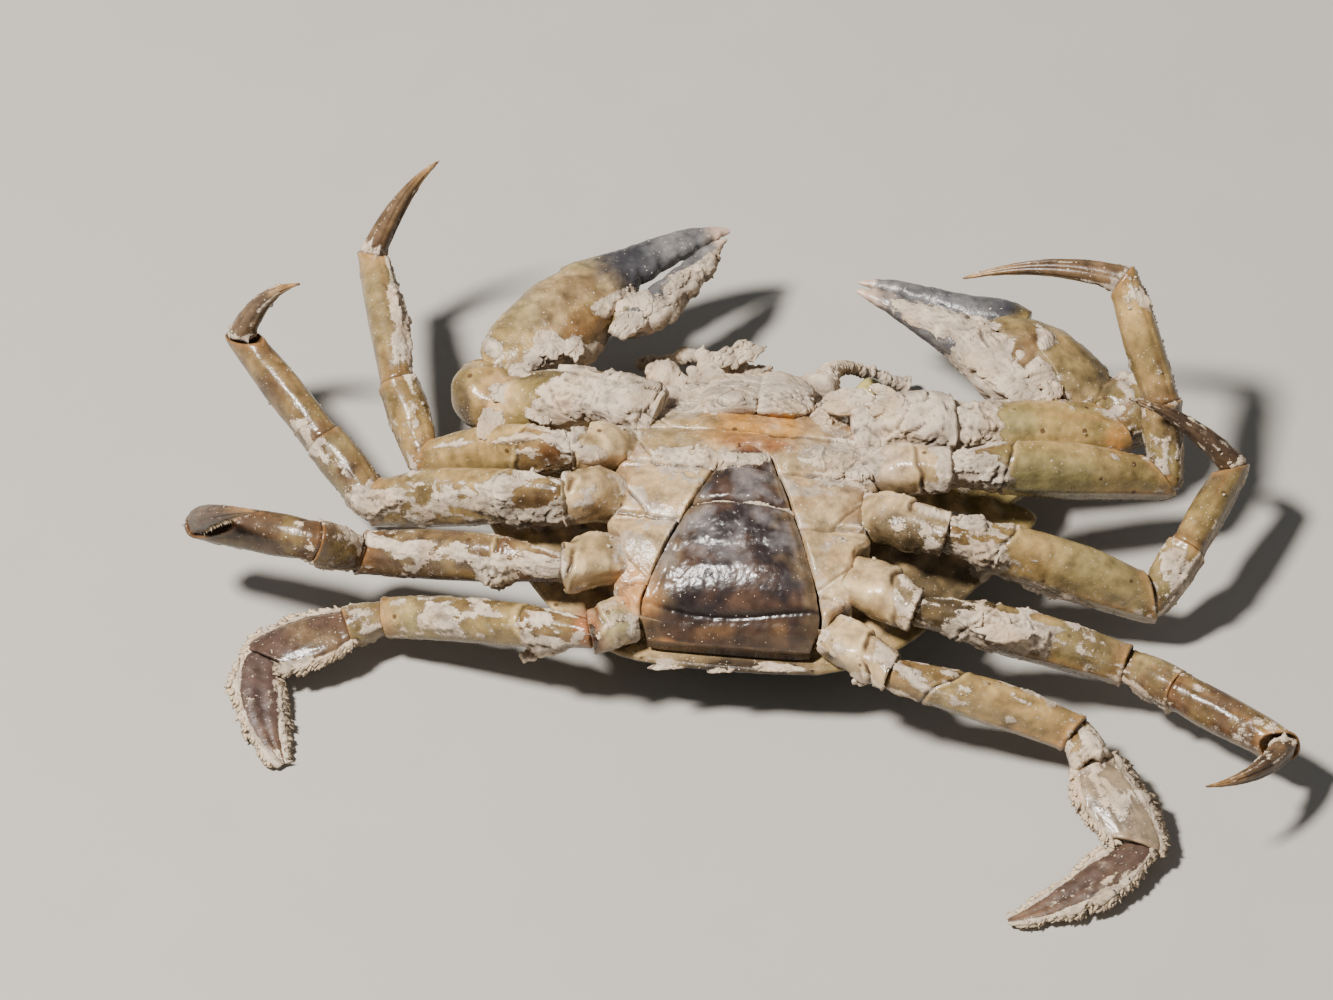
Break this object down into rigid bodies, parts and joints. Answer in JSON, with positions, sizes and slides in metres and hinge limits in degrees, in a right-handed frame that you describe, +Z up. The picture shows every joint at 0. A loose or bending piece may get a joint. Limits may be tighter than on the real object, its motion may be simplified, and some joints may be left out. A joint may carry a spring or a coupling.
{
  "type": "green crab",
  "caption": "Life-size model of a dead green shore crab lying on its back, belly plates, narrow tail flap, claws and jointed legs up, legs spread.",
  "frame": {"origin": "centre of the footprint box, on the floor", "axes": "+X to the crab's own left, along its width; +Y towards its head; +Z up, away from the back shell that it lies on"},
  "size_m": [0.0939, 0.068, 0.0226],
  "materials": {
    "back_shell": "dark olive-green back shell with a sharp toothed edge, satin, dusted with dried mud",
    "breast_shell": "pinkish-tan translucent belly plates with pale seams, satin gloss",
    "tail_shell": "very dark brown, wet-looking gloss, with tiny pale specks",
    "limb_shell": "tan to olive limb shell, brown at the joints, small dark dots, satin gloss",
    "claw_shell": "tan palm passing to slate-grey fingers with pale pinkish tips",
    "claw_tip": "dark brown, grooved lengthways, orange-brown at the point",
    "eye": "black, glossy",
    "dried_mud": "pale beige dried mud, matt, cracked into flakes"
  },
  "bodies": {
    "root": {"carapace": "back_shell", "sternum": "breast_shell", "pleon": "tail_shell", "pleon_tip": "tail_shell", "maxilliped_left": "breast_shell", "eye_left": "eye", "antenna_left": "limb_shell", "claw_left_hip": "limb_shell", "claw_left_arm": "limb_shell", "claw_left_wrist": "limb_shell", "claw_left_palm": "claw_shell", "claw_left_finger": "claw_shell", "leg2_left_hip": "limb_shell", "leg2_left_merus": "limb_shell", "leg2_left_carpus": "limb_shell", "leg2_left_propodus": "limb_shell", "leg2_left_dactyl": "claw_tip", "leg3_left_hip": "limb_shell", "leg3_left_merus": "limb_shell", "leg3_left_carpus": "limb_shell", "leg3_left_propodus": "limb_shell", "leg3_left_dactyl": "claw_tip", "leg4_left_hip": "limb_shell", "leg4_left_merus": "limb_shell", "leg4_left_carpus": "limb_shell", "leg4_left_propodus": "limb_shell", "leg4_left_dactyl": "claw_tip", "leg5_left_hip": "limb_shell", "leg5_left_merus": "limb_shell", "leg5_left_carpus": "limb_shell", "leg5_left_propodus": "limb_shell", "leg5_left_dactyl": "claw_tip", "maxilliped_right": "breast_shell", "eye_right": "eye", "antenna_right": "limb_shell", "claw_right_hip": "limb_shell", "claw_right_arm": "limb_shell", "claw_right_wrist": "limb_shell", "claw_right_palm": "claw_shell", "claw_right_finger": "claw_shell", "leg2_right_hip": "limb_shell", "leg2_right_merus": "limb_shell", "leg2_right_carpus": "limb_shell", "leg2_right_propodus": "limb_shell", "leg2_right_dactyl": "claw_tip", "leg3_right_hip": "limb_shell", "leg3_right_merus": "limb_shell", "leg3_right_carpus": "limb_shell", "leg3_right_propodus": "limb_shell", "leg3_right_dactyl": "claw_tip", "leg4_right_hip": "limb_shell", "leg4_right_merus": "limb_shell", "leg4_right_carpus": "limb_shell", "leg4_right_propodus": "limb_shell", "leg4_right_dactyl": "claw_tip", "leg5_right_hip": "limb_shell", "leg5_right_merus": "limb_shell", "leg5_right_carpus": "limb_shell", "leg5_right_propodus": "limb_shell", "leg5_right_dactyl": "claw_tip"}
  },
  "joints": []
}
